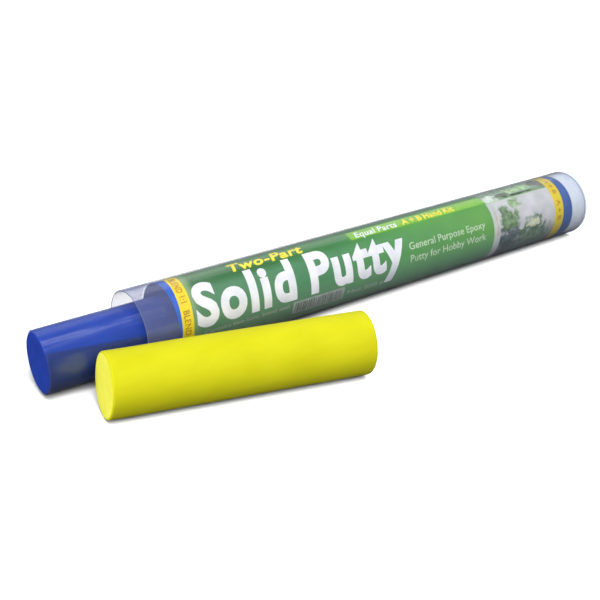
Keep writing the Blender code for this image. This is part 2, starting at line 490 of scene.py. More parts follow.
def lap_and_lower_shade_mask(paint, bar):
    """1 where the film laps over itself: a strip that winds a little round the bar's lower side.
    Colours darkened by it are painted shade of that lower side.
    """
    x, y, z = paint.axes()
    sideways = paint.math("SUBTRACT", bar["centre"].y, y)
    upwards = paint.math("SUBTRACT", z, bar["centre"].z)
    angle = paint.math("ARCTAN2", sideways, upwards)
    first = bar["centre"].x - bar["half"]
    last = bar["centre"].x + bar["half"]
    low = math.radians(LAP_START_DEG)
    start = paint.span(x, low, low + math.radians(LAP_TWIST_DEG), first, last)
    past_start = paint.math("SUBTRACT", angle, start)
    soft = math.radians(LAP_SOFT_DEG)
    end = math.radians(LAP_END_DEG)
    after_start = paint.span(past_start, 0.0, 1.0, -soft, soft)
    before_end = paint.span(angle, 1.0, 0.0, end - soft, end + soft)
    return paint.math("MULTIPLY", after_start, before_end)


def film_material(bar):
    """Thin glossy film: fine creases along the bar, and a strip where it laps over itself, on the
    bar's lower side. The strip's darker colour is painted shade.
    """
    paint = Paint("clear_film", ior=6.0)
    creases = paint.noise(2.4 * MM, detail=3.0, stretch=(0.05, 1.0, 1.0))
    haze = paint.noise(7 * MM, detail=3.0, stretch=(0.3, 1.0, 1.0))
    lap_and_shade = lap_and_lower_shade_mask(paint, bar)
    clear = paint.ramp(haze, [(0.35, srgb(84, 104, 180)), (0.7, srgb(110, 128, 196))])
    lap_painted_shade = paint.ramp(haze, [(0.35, srgb(40, 46, 96)), (0.7, srgb(56, 62, 116))])
    paint.colour(paint.mix(lap_and_shade, clear, lap_painted_shade))
    paint.roughness(paint.span(haze, 0.16, 0.3, 0.3, 0.7))
    paint.bump([(creases, 0.09 * MM)])
    paint.see_through(paint.span(lap_and_shade, FILM_COVER, LAP_COVER))
    return paint.material


# ----------------------------------------------------------
# Putties
# ----------------------------------------------------------

# Painted shade: the blue putty's darker colour on the bar's lower side, under the film's lap.
PAINTED_SHADE_UNDER_LAP = srgb(36, 58, 128)


def putty_side_material(name, light, dark, roughness, wrapped_bar=None):
    """Extruded putty: satin, faint drag lines along the bar, soft mottling and small pits."""
    paint = Paint(name, specular=0.1)
    mottle = paint.noise(11 * MM, detail=3.0, stretch=(0.5, 1.0, 1.0))
    drag = paint.noise(1.6 * MM, detail=3.0, stretch=(0.05, 1.0, 1.0))
    pits = paint.noise(0.5 * MM, detail=2.0)
    body = paint.ramp(mottle, [(0.35, dark), (0.65, light)])
    body = paint.mix(paint.span(drag, 0.0, 0.25, 0.4, 0.8), body, dark)
    # Painted shade: the lower side under the film's lap is darkened.
    if wrapped_bar:
        body = paint.mix(lap_and_lower_shade_mask(paint, wrapped_bar), body, PAINTED_SHADE_UNDER_LAP)
    paint.colour(body)
    paint.roughness(paint.span(mottle, roughness - 0.06, roughness + 0.08, 0.3, 0.7))
    paint.bump([(drag, 0.03 * MM), (pits, 0.012 * MM)])
    paint.shader.inputs["Subsurface Weight"].default_value = 0.08
    paint.shader.inputs["Subsurface Scale"].default_value = 1.0 * MM
    return paint.material


def putty_cut_material(name, light, dark, roughness):
    """Cut end of a bar: matter, with the faint chatter lines of the blade."""
    paint = Paint(name, specular=0.1)
    blade = paint.node("ShaderNodeTexWave", bands_direction="Z")
    blade.inputs["Scale"].default_value = 260.0
    blade.inputs["Distortion"].default_value = 5.0
    blade.inputs["Detail"].default_value = 2.0
    paint.link(paint.place(), blade.inputs["Vector"])
    pits = paint.noise(0.7 * MM, detail=3.0)
    mottle = paint.noise(5 * MM, detail=2.0)
    paint.colour(paint.ramp(mottle, [(0.35, dark), (0.65, light)]))
    paint.roughness(paint.span(pits, roughness - 0.05, roughness + 0.08))
    paint.bump([(blade.outputs["Fac"], 0.02 * MM), (pits, 0.02 * MM)])
    return paint.material


# ----------------------------------------------------------
# Label print
# ----------------------------------------------------------

def paper_finish(paint, grain_size, smoothest):
    """Fine grain of the paper, in the gloss and the surface."""
    grain = paint.noise(grain_size, detail=2.0)
    paint.roughness(paint.span(grain, smoothest, smoothest + 0.12))
    paint.bump([(grain, 0.004 * MM)])
    return grain


def band_material(name, light, dark):
    """A printed band of one ink: faint unevenness and paper grain."""
    paint = Paint(name, roughness=0.38)
    cloud = paint.noise(8 * MM, detail=3.0)
    grain = paper_finish(paint, 0.25 * MM, 0.33)
    tone = paint.ramp(cloud, [(0.35, dark), (0.65, light)])
    paint.colour(paint.mix(paint.span(grain, 0.0, 0.12), tone, dark))
    return paint.material


def label_u(along_mm):
    """Print coordinate along the label of a distance from the mouth in mm."""
    return (along_mm * MM - LABEL_START) / (LABEL_END - LABEL_START)


def label_v(angle_deg):
    """Print coordinate round the label of an angle in degrees."""
    return (angle_deg - SEAM_START_DEG) / (SEAM_END_DEG - SEAM_START_DEG)


def green_material():
    """Main panel: teal green at the mouth, fresh green at the far end, shaded round the sheet."""
    paint = Paint("label_green", roughness=0.36)
    u, v = paint.uv()
    main = paint.ramp(u, [
        (label_u(22.0), srgb(88, 140, 104)),
        (label_u(80.0), srgb(76, 140, 94)),
        (label_u(130.0), srgb(86, 154, 86)),
        (label_u(180.0), srgb(104, 168, 80)),
    ])
    top = paint.ramp(u, [
        (label_u(22.0), srgb(100, 142, 98)),
        (label_u(100.0), srgb(66, 130, 70)),
        (label_u(180.0), srgb(82, 142, 84)),
    ])
    groove = paint.ramp(u, [
        (label_u(22.0), srgb(60, 120, 72)),
        (label_u(50.0), srgb(38, 106, 44)),
        (label_u(100.0), srgb(48, 128, 54)),
        (label_u(150.0), srgb(90, 168, 64)),
    ])
    low = paint.ramp(u, [
        (label_u(22.0), srgb(118, 156, 128)),
        (label_u(180.0), srgb(110, 168, 122)),
    ])
    to_groove = paint.span(v, 0.0, 1.0, label_v(-4.0), label_v(10.0))
    to_main = paint.span(v, 0.0, 1.0, label_v(22.0), label_v(36.0))
    to_low = paint.span(v, 0.0, 1.0, label_v(70.0), label_v(112.0))
    tone = paint.mix(to_groove, top, groove)
    tone = paint.mix(to_main, tone, main)
    tone = paint.mix(to_low, tone, low)
    edge_strip = paint.span(u, 0.5, 0.0, label_u(23.0), label_u(26.0))
    strip_fade = paint.span(v, 1.0, 0.35, label_v(20.0), label_v(100.0))
    tone = paint.mix(paint.math("MULTIPLY", edge_strip, strip_fade), tone, srgb(184, 206, 150))
    cloud = paint.noise(14 * MM, detail=4.0)
    tone = paint.mix(paint.span(cloud, 0.0, 0.2, 0.4, 0.7), tone, srgb(70, 118, 82))
    paint.colour(tone)
    paper_finish(paint, 0.3 * MM, 0.32)
    return paint.material


def picture_material(name, backdrop, floor_tone, ovals):
    """A blurred picture of putty shapes: uneven ovals of mottled ink over a plain backdrop."""
    paint = Paint(name, roughness=0.36)
    place = paint.uv()
    cloud = paint.noise(7 * MM, detail=3.0)
    speckle = paint.span(paint.noise(2.2 * MM, detail=4.0), 0.0, 1.0, 0.36, 0.64)
    wobble = paint.span(paint.noise(3.6 * MM, detail=2.5), -0.55, 0.55, 0.3, 0.7)
    tone = paint.ramp(cloud, backdrop)
    down = paint.span(place[1], 0.0, 1.0, label_v(88.0), label_v(125.0))
    tone = paint.mix(down, tone, floor_tone)
    for along, angle_deg, wide, tall_deg, dark, light in ovals:
        inside = paint.oval(place, along, angle_deg, wide, tall_deg, wobble)
        tone = paint.mix(inside, tone, paint.mix(speckle, dark, light))
    paint.colour(tone)
    paper_finish(paint, 0.3 * MM, 0.32)
    return paint.material


# Shapes in the two pictures: (along mm, angle deg, half width mm, half height deg, dark, light)
LOWER_SHAPES = (
    (196.0, 104.0, 10.0, 34.0, srgb(74, 88, 92), srgb(112, 128, 132)),
    (214.0, 108.0, 10.5, 26.0, srgb(92, 116, 102), srgb(128, 156, 138)),
    (197.0, 62.0, 6.2, 20.0, srgb(84, 112, 80), srgb(140, 168, 128)),
    (203.0, 38.0, 3.6, 12.0, srgb(112, 144, 98), srgb(172, 200, 158)),
    (195.5, 42.0, 3.2, 8.0, srgb(88, 112, 84), srgb(132, 158, 122)),
    (213.0, 83.0, 7.8, 13.0, srgb(70, 94, 72), srgb(118, 148, 118)),
    (212.8, 80.5, 4.4, 7.5, srgb(180, 192, 160), srgb(236, 238, 220)),
)
UPPER_SHAPES = (
    (206.0, -12.0, 22.0, 14.0, srgb(112, 138, 114), srgb(170, 194, 168)),
    (191.5, 13.0, 5.6, 9.0, srgb(190, 208, 194), srgb(228, 238, 228)),
    (213.0, 6.0, 12.0, 10.0, srgb(124, 170, 106), srgb(190, 226, 176)),
    (200.0, 12.0, 4.6, 8.0, srgb(54, 70, 48), srgb(84, 112, 78)),
    (211.0, 18.5, 9.5, 2.6, srgb(44, 58, 42), srgb(66, 88, 60)),
    (224.0, 4.0, 5.0, 12.0, srgb(70, 76, 70), srgb(104, 108, 104)),
)


def label_region(along_mm, angle_deg):
    """Material slot of a spot on the label's printed face."""
    if along_mm < FRONT_BLUE_END:
        return 1
    if along_mm < FRONT_YELLOW_END:
        return 2
    if along_mm > REAR_YELLOW_END:
        return 7
    if along_mm > PICTURE_END:
        return 8
    if along_mm < GREEN_END:
        in_stripe = STRIPE_TOP_DEG < angle_deg < STRIPE_BOTTOM_DEG
        return 4 if in_stripe and along_mm > STRIPE_START else 3
    if angle_deg < PICTURE_FRAME_DEG - FRAME_LINE_DEG:
        return 5
    if angle_deg < PICTURE_FRAME_DEG:
        return 9
    return 10 if along_mm < MARGIN_END else 6


def label_materials():
    """Slots: reverse (painted dark as shade), blue, yellow, green, lime, upper picture, lower
    picture, rear blue, rear yellow, the line between the pictures, and the lower picture's margin."""
    pale = [(0.35, srgb(212, 213, 218)), (0.7, srgb(192, 196, 199))]
    leafy = [(0.35, srgb(136, 162, 138)), (0.7, srgb(118, 144, 122))]
    return [
        # Painted shade: the sheet's unprinted back is painted dark brownish grey, as it lies in
        # shade inside the tube.
        band_material("label_reverse_painted_shade", srgb(104, 94, 88), srgb(82, 74, 72)),
        band_material("label_blue", srgb(46, 104, 214), srgb(38, 90, 196)),
        band_material("label_yellow", srgb(250, 226, 40), srgb(240, 212, 34)),
        green_material(),
        band_material("label_lime", srgb(134, 198, 44), srgb(116, 186, 36)),
        picture_material("label_picture", leafy, srgb(104, 122, 122), UPPER_SHAPES),
        picture_material("label_backdrop", pale, srgb(112, 128, 128), LOWER_SHAPES),
        band_material("label_blue_rear", srgb(70, 104, 172), srgb(60, 94, 160)),
        band_material("label_yellow_rear", srgb(232, 210, 56), srgb(220, 196, 50)),
        band_material("label_frame_line", srgb(168, 204, 142), srgb(150, 188, 126)),
        band_material("label_margin", srgb(212, 215, 217), srgb(192, 198, 198)),
    ]


def spaced(start, end, step, breaks=()):
    """Values from start to end about a step apart that include the breaks."""
    count = max(1, round((end - start) / step))
    values = [start + (end - start) * i / count for i in range(count + 1)]
    values = [v for v in values if all(abs(v - b) > step * 0.3 for b in breaks)]
    values += [b for b in breaks if start < b < end]
    return sorted(set(values) | {start, end})


def build_label():
    """The rolled sheet: a printed outer face, a plain reverse painted dark as the shade inside the
    tube, and an open seam.
    """
    bands = (FRONT_BLUE_END, FRONT_YELLOW_END, STRIPE_START, GREEN_END, MARGIN_END, PICTURE_END,
             REAR_YELLOW_END)
    alongs = spaced(LABEL_START / MM, LABEL_END / MM, 6.0, bands)
    frame_top = PICTURE_FRAME_DEG - FRAME_LINE_DEG
    lines = (STRIPE_TOP_DEG, STRIPE_BOTTOM_DEG, frame_top, PICTURE_FRAME_DEG)
    degrees = spaced(SEAM_START_DEG, SEAM_END_DEG, 2.5, lines)
    bm = bmesh.new()
    layer = bm.loops.layers.uv.new("print")
    spots = {}

    def row(along, radius):
        verts = []
        for degree in degrees:
            angle = math.radians(degree)
            shift = -LABEL_LAP if along == alongs[0] else roll_skew(angle)
            shift = 0.0 if along == alongs[-1] else shift
            vert = bm.verts.new(on_tube(along * MM + shift, angle, radius))
            spots[vert] = (along, degree)
            verts.append(vert)
        return verts

    outer = [row(along, LABEL_RADIUS) for along in alongs]
    inner = [row(along, LABEL_RADIUS - LABEL_THICKNESS) for along in (alongs[-1], alongs[0])]
    for first, second in zip(outer, outer[1:]):
        join(bm, first, second, closed=False, slot=3)
    for first, second in ((outer[-1], inner[0]), (inner[0], inner[1]), (inner[1], outer[0])):
        join(bm, first, second, closed=False)
    for side in (0, -1):
        bm.faces.new([r[side] for r in outer + inner])
    for face in bm.faces:
        corners = [spots[loop.vert] for loop in face.loops]
        if face.material_index == 3:
            middle = [sum(c[k] for c in corners) / len(corners) for k in (0, 1)]
            face.material_index = label_region(*middle)
        for loop, (along, degree) in zip(face.loops, corners):
            loop[layer].uv = (label_u(along), label_v(degree))
    label = add_piece("label_sheet", bm, label_materials(), "tube")
    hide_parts("printed_label")


# ----------------------------------------------------------
# Ink: thin solids wrapped on the label
# ----------------------------------------------------------

def text_solid(words, bold, lean=0.0):
    """Flat lettering in Blender's own font, as a mesh of unit thickness with its baseline at 0."""
    curve = bpy.data.curves.new("lettering", "FONT")
    curve.body = words
    curve.offset = bold
    curve.space_character = 1.0 + LETTER_GAP_OF_BOLD * bold
    curve.space_word = 1.0 - WORD_GAP_OF_BOLD * bold
    curve.shear = lean
    curve.extrude = 0.5
    curve.resolution_u = LETTER_RESOLUTION
    holder = bpy.data.objects.new("lettering", curve)
    bpy.context.scene.collection.objects.link(holder)
    graph = bpy.context.evaluated_depsgraph_get()
    mesh = bpy.data.meshes.new_from_object(holder.evaluated_get(graph))
    bpy.data.objects.remove(holder, do_unlink=True)
    bpy.data.curves.remove(curve)
    return mesh


def cap_height(bold):
    """Height of the font's capitals at that boldness."""
    mesh = text_solid("E", bold)
    height = max(vert.co.y for vert in mesh.vertices)
    bpy.data.meshes.remove(mesh)
    return height


def wrap(bm, layer_number):
    """Bend a flat solid (X along, Y round, Z its unit thickness) onto the label."""
    reach = [vert.co.y for vert in bm.verts]
    level = min(reach) + INK_STEP
    while level < max(reach):
        everything = bm.verts[:] + bm.edges[:] + bm.faces[:]
        bmesh.ops.bisect_plane(bm, geom=everything, plane_co=(0, level, 0), plane_no=(0, 1, 0))
        level += INK_STEP
    base = LABEL_RADIUS + INK_LIFT * layer_number
    for vert in bm.verts:
        radius = base + INK_THICKNESS * (0.5 + vert.co.z)
        angle = vert.co.y / LABEL_RADIUS
        vert.co = on_tube(vert.co.x + roll_skew(angle), angle, radius)


def lettering(words, left, right, top_deg, base_deg, bold=0.0, lean=0.0):
    """Words along the tube from left to right (mm), their capitals between two angles."""
    mesh = text_solid(words, bold, lean)
    xs = [vert.co.x for vert in mesh.vertices]
    wide = (right - left) * MM / (max(xs) - min(xs))
    tall = math.radians(base_deg - top_deg) * LABEL_RADIUS / cap_height(bold)
    bm = bmesh.new()
    bm.from_mesh(mesh)
    bpy.data.meshes.remove(mesh)
    for vert in bm.verts:
        x = left * MM + (vert.co.x - min(xs)) * wide
        y = math.radians(base_deg) * LABEL_RADIUS - vert.co.y * tall
        vert.co = (x, y, -vert.co.z)
    wrap(bm, 1)
    return bm


def lettering_round(words, along, size, start_deg, end_deg, bold=0.0):
    """Words that run round the tube, their baseline at along (mm) and their tops towards +X."""
    mesh = text_solid(words, bold)
    xs = [vert.co.x for vert in mesh.vertices]
    wide = math.radians(end_deg - start_deg) * LABEL_RADIUS / (max(xs) - min(xs))
    tall = size * MM / cap_height(bold)
    bm = bmesh.new()
    bm.from_mesh(mesh)
    bpy.data.meshes.remove(mesh)
    for vert in bm.verts:
        x = along * MM + vert.co.y * tall
        y = math.radians(start_deg) * LABEL_RADIUS + (vert.co.x - min(xs)) * wide
        vert.co = (x, y, vert.co.z)
    wrap(bm, 1)
    return bm


def patch(left, right, top_deg, bottom_deg, layer_number=1):
    """A printed rectangle."""
    bm = bmesh.new()
    low = (left * MM, math.radians(top_deg) * LABEL_RADIUS)
    high = (right * MM, math.radians(bottom_deg) * LABEL_RADIUS)
    corners = [(low[0], low[1]), (high[0], low[1]), (high[0], high[1]), (low[0], high[1])]
    rows = [[bm.verts.new((x, y, z)) for x, y in corners] for z in (-0.5, 0.5)]
    join(bm, rows[0], rows[1], closed=True)
    for corners in rows:
        bm.faces.new(corners)
    wrap(bm, layer_number)
    return bm


def merge(parts):
    """One bmesh from several."""
    whole = bmesh.new()
    for part in parts:
        mesh = bpy.data.meshes.new("part")
        part.to_mesh(mesh)
        part.free()
        whole.from_mesh(mesh)
        bpy.data.meshes.remove(mesh)
    return whole


def barcode():
    """Bars of uneven width with uneven gaps."""
    bars = []
    x = CODE_FIRST_BAR
    number = 0
    while x < CODE_LAST_BAR:
        width = 0.28 + 0.5 * abs(noise.noise(Vector((number * 1.37, 0.5, 0.0))))
        gap = 0.34 + 0.6 * abs(noise.noise(Vector((number * 1.91, 4.5, 0.0))))
        bars.append(patch(x, x + width, 98.0, 116.0, layer_number=2))
        x += width + gap
        number += 1
    return bars


def ink_material(name, light, dark, size):
    """One ink, a little uneven, over the paper's grain."""
    paint = Paint(name, roughness=0.34)
    patchy = paint.noise(size * MM, detail=3.0)
    paint.colour(paint.ramp(patchy, [(0.35, dark), (0.65, light)]))
    paper_finish(paint, 0.25 * MM, 0.3)
    return paint.material


def build_inks():
    """All the print that lies on the sheet, one piece for each ink. The wording is generic."""
    white = [
        lettering("Solid Putty", 23.6, 131.5, 21.0, 87.0, bold=0.042),
        lettering("Cut equal lengths of both bars", 40.0, 150.0, -112.0, -103.0, bold=0.01),
        lettering("Knead until the colour is even", 40.0, 150.0, -91.0, -82.0, bold=0.01),
        lettering("Shape it, then leave it to set", 40.0, 150.0, -70.0, -61.0, bold=0.01),
        lettering("Equal Parts", 109.0, 133.0, 4.0, 18.0, bold=0.02, lean=0.2),
    ]
    pale = [
        lettering("General Purpose Epoxy", 134.0, 181.0, 54.0, 66.0, bold=0.012),
        lettering("Putty for Hobby Work", 134.0, 181.0, 75.0, 87.0, bold=0.012),
    ]
    yellow = [
        lettering("Two-Part", 44.5, 81.0, -4.0, 17.0, bold=0.035, lean=0.2),
        lettering("A + B Hand Kit", 136.0, 168.0, 3.0, 18.0, bold=0.03, lean=0.2),
    ]
    faint = [
        lettering("Contains two bars, blend well", 27.0, 68.0, 96.0, 103.0, bold=0.01),
        lettering("Net 200 g", 99.0, 119.0, 104.0, 112.0, bold=0.01),
        patch(70.0, 97.0, 95.0, 119.0),
    ]
    brown = [
        lettering_round("BLEND 1:1   BLEND 1:1", 18.1, 2.7, -8.0, 112.0, bold=0.02),
        lettering_round("A + B   A + B", 230.4, 2.6, 4.0, 92.0, bold=0.02),
        lettering_round("HOBBY WORK", 188.6, 0.9, 42.0, 88.0),
    ]
    inks = (
        ("ink_white", white, srgb(248, 249, 255), srgb(232, 234, 242), 6.0),
        ("ink_pale", pale, srgb(202, 224, 192), srgb(182, 210, 176), 6.0),
        ("ink_yellow", yellow, srgb(254, 240, 18), srgb(246, 228, 12), 3.0),
        ("ink_faint", faint, srgb(186, 196, 190), srgb(160, 172, 166), 3.0),
        ("ink_brown", brown, srgb(204, 152, 42), srgb(178, 128, 36), 2.0),
        ("ink_bars", barcode(), srgb(104, 116, 110), srgb(84, 96, 92), 2.0),
    )
    for name, parts, light, dark, size in inks:
        add_piece(name, merge(parts), [ink_material(name, light, dark, size)], "tube")


# ----------------------------------------------------------
# Tube and plugs
# ----------------------------------------------------------

def build_tube():
    """Thin clear wall with softly rounded rims. Near the mouth the wall is hazier and bluish: a
    painted veil that stands for the wall's reflection over the blue bar.
    """
    inner = TUBE_RADIUS - TUBE_WALL
    corners = [
        (0.0, TUBE_RADIUS),
        (MOUTH_VEIL_LENGTH, TUBE_RADIUS),
        (TUBE_LENGTH, TUBE_RADIUS),
        (TUBE_LENGTH, inner),
        (MOUTH_VEIL_LENGTH, inner),
        (0.0, inner),
    ]
    outline = softened(corners, RIM_ROUND, closed=True)

    def finish_of(first, second):
        """Slots: clear wall, mouth rim (painted dark edge), mouth with a painted veil, rear rim
        (painted light edge).
        """
        near = min(first[0], second[0])
        far = max(first[0], second[0])
        if near > TUBE_LENGTH - 2 * RIM_ROUND:
            return 3
        if far < 2 * RIM_ROUND:
            return 1
        return 2 if far < MOUTH_VEIL_LENGTH + RIM_ROUND / 2.0 else 0

    clear_shades = (srgb(120, 128, 140), srgb(146, 154, 166))
    # Painted veil: the mouth's bluish haze stands for the wall's reflection over the blue bar.
    mouth_veil_shades = (srgb(106, 116, 170), srgb(128, 138, 190))
    finishes = [
        shell_material("clear_shell", SHELL_COVER, SHELL_IOR, clear_shades),
        # Painted shade: the dark mouth rim stands for the dark line that refraction makes at the
        # clear edge.
        rim_material("mouth_rim_painted_dark", srgb(82, 92, 124), srgb(128, 138, 172)),
        shell_material("mouth_painted_veil", MOUTH_COVER, MOUTH_IOR, mouth_veil_shades),
        # Painted highlight: the rear rim is a lighter copy of the same cut edge.
        rim_material("rear_rim_painted_light", srgb(176, 184, 202), srgb(198, 206, 222)),
    ]
    bm = turned(outline, on_tube, closed=True, slot_of=finish_of)
    shell = add_piece("tube_shell", bm, finishes, "tube")
    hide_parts("clear_tube")


def plug_outline(depth):
    """Half section of a plug. 0 is the flange's inner face, and + points out of the tube."""
    def side(at):
        return PLUG_RADIUS - PLUG_TAPER * at / depth

    outline = [(-depth, 0.0), (-depth, side(depth) - PLUG_LEAD_IN)]
    outline.append((PLUG_LEAD_IN - depth, side(depth - PLUG_LEAD_IN)))
    for share in sorted(PLUG_BEAD_PLACES, reverse=True):
        middle = depth * share
        for step in (0.5, 0.25, 0.0, -0.25, -0.5):
            at = middle + step * PLUG_BEAD_WIDTH
            swell = PLUG_BEAD_HEIGHT * math.cos(math.pi * step)
            outline.append((-at, side(at) + swell))
    outline.append((0.0, PLUG_RADIUS))
    rim = [
        (0.0, TUBE_RADIUS),
        (FLANGE_THICKNESS, TUBE_RADIUS),
        (FLANGE_THICKNESS, PLUG_RADIUS - PLUG_WALL),
    ]
    outline += softened([outline[-1], *rim, (PLUG_FLOOR - depth, side(depth) - PLUG_WALL)],
                        PLUG_TOP_ROUND, closed=False)[1:-1]
    floor_radius = side(depth) - PLUG_WALL
    recess = PLUG_FLOOR - depth
    outline += [
        (recess + 0.5 * MM, floor_radius),
        (recess + 0.15 * MM, floor_radius - 0.15 * MM),
        (recess, floor_radius - 0.5 * MM),
    ]
    outline += [(recess + height * MM, radius * MM) for radius, height in PLUG_FLOOR_MARKS]
    return outline


def build_plugs():
    """Both plugs are the same moulding: cup, flange, two sealing beads, gate mark in the recess."""
    material = plug_material()
    rear_low, rear_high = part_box("rear_plug")
    depth = rear_high.x - rear_low.x - FLANGE_THICKNESS
    outline = plug_outline(depth)
    seat = rear_high.x - FLANGE_THICKNESS - TUBE_LOW.x

    def rear(along, angle, radius):
        return on_tube(seat + along, angle, radius)

    front_low, front_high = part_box("front_plug")
    middle = (front_low + front_high) / 2.0

    def front(along, angle, radius):
        x = middle.x + radius * math.cos(angle)
        y = middle.y + radius * math.sin(angle)
        return Vector((x, y, front_low.z + FLANGE_THICKNESS - along))

    for name, place in (("rear_plug", rear), ("front_plug", front)):
        bm = turned(outline, place, closed=False)
        plug = add_piece(name + "_moulding", bm, [material], name, sharp_deg=60.0)
        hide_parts(name)


# ----------------------------------------------------------
# Putty bars and film
# ----------------------------------------------------------

def bar_point(bar, share, angle, radius, beyond=0.0):
    """A point of a bar: share runs from the near cut at 0 to the far cut at 1."""
    across = -radius * math.sin(angle)
    height = radius * math.cos(angle)
    near = -bar["half"] - beyond + across * bar["slants"][0] + height * bar["slants"][1]
    far = bar["half"] + beyond + across * bar["slants"][2] + height * bar["slants"][3]
    along = near + (far - near) * share
    return bar["centre"] + bar["along"] * along + bar["side"] * across + bar["up"] * height


def film_relief(share, angle):
    """How far the film and the putty under it sink in: long creases, in metres."""
    length = share * 2.0
    turn = Vector((length, 2.6 * math.cos(angle), 2.6 * math.sin(angle)))
    wide = Vector((length + 9.0, 1.1 * math.cos(angle), 1.1 * math.sin(angle)))
    crease = 1.0 - abs(noise.noise(turn)) * 2.2
    before = LAP_START_DEG + LAP_TWIST_DEG * share - math.degrees(angle)
    after = math.degrees(angle) - LAP_END_DEG
    step = LAP_STEP * min(1.0, max(0.0, 0.5 + max(before, after) / 4.0))
    swell = 0.5 + 0.5 * noise.noise(wide)
    return step + CREASE_DEPTH * max(0.0, crease) ** 2 + SWELL_DEPTH * swell


def putty_relief(share, angle):
    """Soft finger dents of a bare bar, in metres."""
    spot = Vector((share * 4.0, 1.0 * math.cos(angle), 1.0 * math.sin(angle)))
    fine = Vector((share * 13.0, 3.0 * math.cos(angle), 3.0 * math.sin(angle)))
    broad = 0.5 + 0.5 * noise.noise(spot)
    small = 0.5 + 0.5 * noise.noise(fine)
    return DENT_DEPTH * broad + FINE_DENT_DEPTH * small


def bar_mesh(bar, relief, edge):
    """A bar with rounded cut edges, its side sunk in by relief and its cut faces a little uneven."""
    bm = bmesh.new()
    length = 2.0 * bar["half"]
    rings = []
    for i in range(CAP_RINGS):
        rings.append((0.0, (bar["radius"] - edge) * i / CAP_RINGS))
    for turn in EDGE_TURNS_DEG:
        a = math.radians(turn)
        inward = edge * (1.0 - math.cos(a))
        rings.append((edge * (1.0 - math.sin(a)) / length, bar["radius"] - inward))
    corner = rings[-1][0]
    side = [corner + (1.0 - 2.0 * corner) * i / BAR_RINGS for i in range(1, BAR_RINGS)]
    mirrored = [(1.0 - share, radius) for share, radius in reversed(rings)]
    rings += [(share, bar["radius"]) for share in side] + mirrored
    rows = []
    for share, radius in rings:
        angles = full_turn() if radius > 0.0 else [0.0]
        fade = radius / bar["radius"]
        row = []
        for a in angles:
            sunk = radius - relief(share, a) * fade**6
            row.append(bm.verts.new(bar_point(bar, share, a, sunk)))
        rows.append(row)
    for i, (first, second) in enumerate(zip(rows, rows[1:])):
        on_cap = i < CAP_RINGS or i >= len(rows) - 1 - CAP_RINGS
        join(bm, first, second, closed=True, slot=1 if on_cap else 0)
    return bm


def film_mesh(bar, outer_radius):
    """A sleeve that follows the creases of the bar in it, its ends a little frayed."""
    bm = bmesh.new()

    def row(share, inset):
        verts = []
        for a in full_turn():
            spot = Vector((3.0 * math.cos(a), 3.0 * math.sin(a), share * 5.0))
            curl = 0.5 + 0.5 * noise.noise(spot)
            radius = outer_radius - inset - film_relief(share, a)
            verts.append(bm.verts.new(bar_point(bar, share, a, radius, FILM_OVERHANG * curl)))
        return verts

    shares = [i / BAR_RINGS for i in range(BAR_RINGS + 1)]
    rows = [row(share, 0.0) for share in shares]
    rows += [row(share, FILM_THICKNESS) for share in reversed(shares)]
    for i, current in enumerate(rows):
        join(bm, rows[i - 1], current, closed=True)
    return bm


def build_bars():
    """The wrapped blue bar in the tube's mouth and the bare yellow bar in front of it."""
    blue = measure_bar("blue_putty_bar")
    blue_inks = (srgb(33, 68, 170), srgb(27, 61, 158))
    side = putty_side_material("blue_side", *blue_inks, roughness=0.42, wrapped_bar=blue)
    cut = putty_cut_material("blue_cut", srgb(30, 60, 156), srgb(25, 54, 146), roughness=0.6)
    bm = bar_mesh(blue, film_relief, BAR_EDGE)
    bar = add_piece("blue_bar_putty", bm, [side, cut], "blue_bar")
    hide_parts("blue_putty_bar")

    film_low, film_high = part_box("blue_film_wrap")
    bm = film_mesh(blue, (film_high.z - film_low.z) / 2.0)
    film = add_piece("blue_bar_film", bm, [film_material(blue)], "blue_bar")
    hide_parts("blue_film_wrap")
    light_streak(film)

    yellow = measure_bar("yellow_putty_bar")
    side = putty_side_material("yellow_side", srgb(209, 206, 28), srgb(202, 199, 22), roughness=0.5)
    # Painted light and sheen: the cut ends are paler and whiter than the side, as they look where
    # the side lamp lights them.
    cut = putty_cut_material("yellow_cut_painted_sheen", srgb(246, 244, 92), srgb(240, 236, 78), roughness=0.5)
    bm = bar_mesh(yellow, putty_relief, BAR_EDGE)
    bar = add_piece("yellow_bar_putty", bm, [side, cut], "yellow_bar")
    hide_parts("yellow_putty_bar")


# ----------------------------------------------------------
# Studio
# ----------------------------------------------------------

def stage_piece(name, bm, paint):
    """A piece of the studio, which is not part of the object."""
    mesh = bpy.data.meshes.new(name)
    bm.to_mesh(mesh)
    bm.free()
    mesh.shade_smooth()
    mesh.materials.append(paint.material)
    piece = bpy.data.objects.new(name, mesh)
    bpy.context.scene.collection.objects.link(piece)
    return piece


def sheet_on_floor(name, paint, height):
    """A wide flat sheet."""
    bm = bmesh.new()
    bmesh.ops.create_grid(bm, x_segments=4, y_segments=4, size=FLOOR_SIZE / 2.0)
    sheet = stage_piece(name, bm, paint)
    sheet.location.z = height
    return sheet


def paper(name, dark, light):
    """Matt studio paper of a nearly even colour."""
    paint = Paint(name, roughness=0.8, specular=0.0)
    grain = paint.noise(2 * MM, detail=2.0)
    paint.colour(paint.ramp(grain, [(0.3, (*dark, 1.0)), (0.7, (*light, 1.0))]))
    return paint


def build_floor():
    """A pale floor for the camera, over a grey card that keeps the bounced light low."""
    pale = paper("floor_paper", (0.56, 0.56, 0.565), (0.58, 0.58, 0.58))
    floor = sheet_on_floor("floor", pale, -FLOOR_GAP)
    floor.visible_diffuse = False
    floor.visible_glossy = False
    grey = paper("bounce_grey", (0.36, 0.36, 0.37), (0.38, 0.38, 0.39))
    card = sheet_on_floor("bounce_card", grey, -2.0 * FLOOR_GAP)
    card.visible_camera = False
    return floor


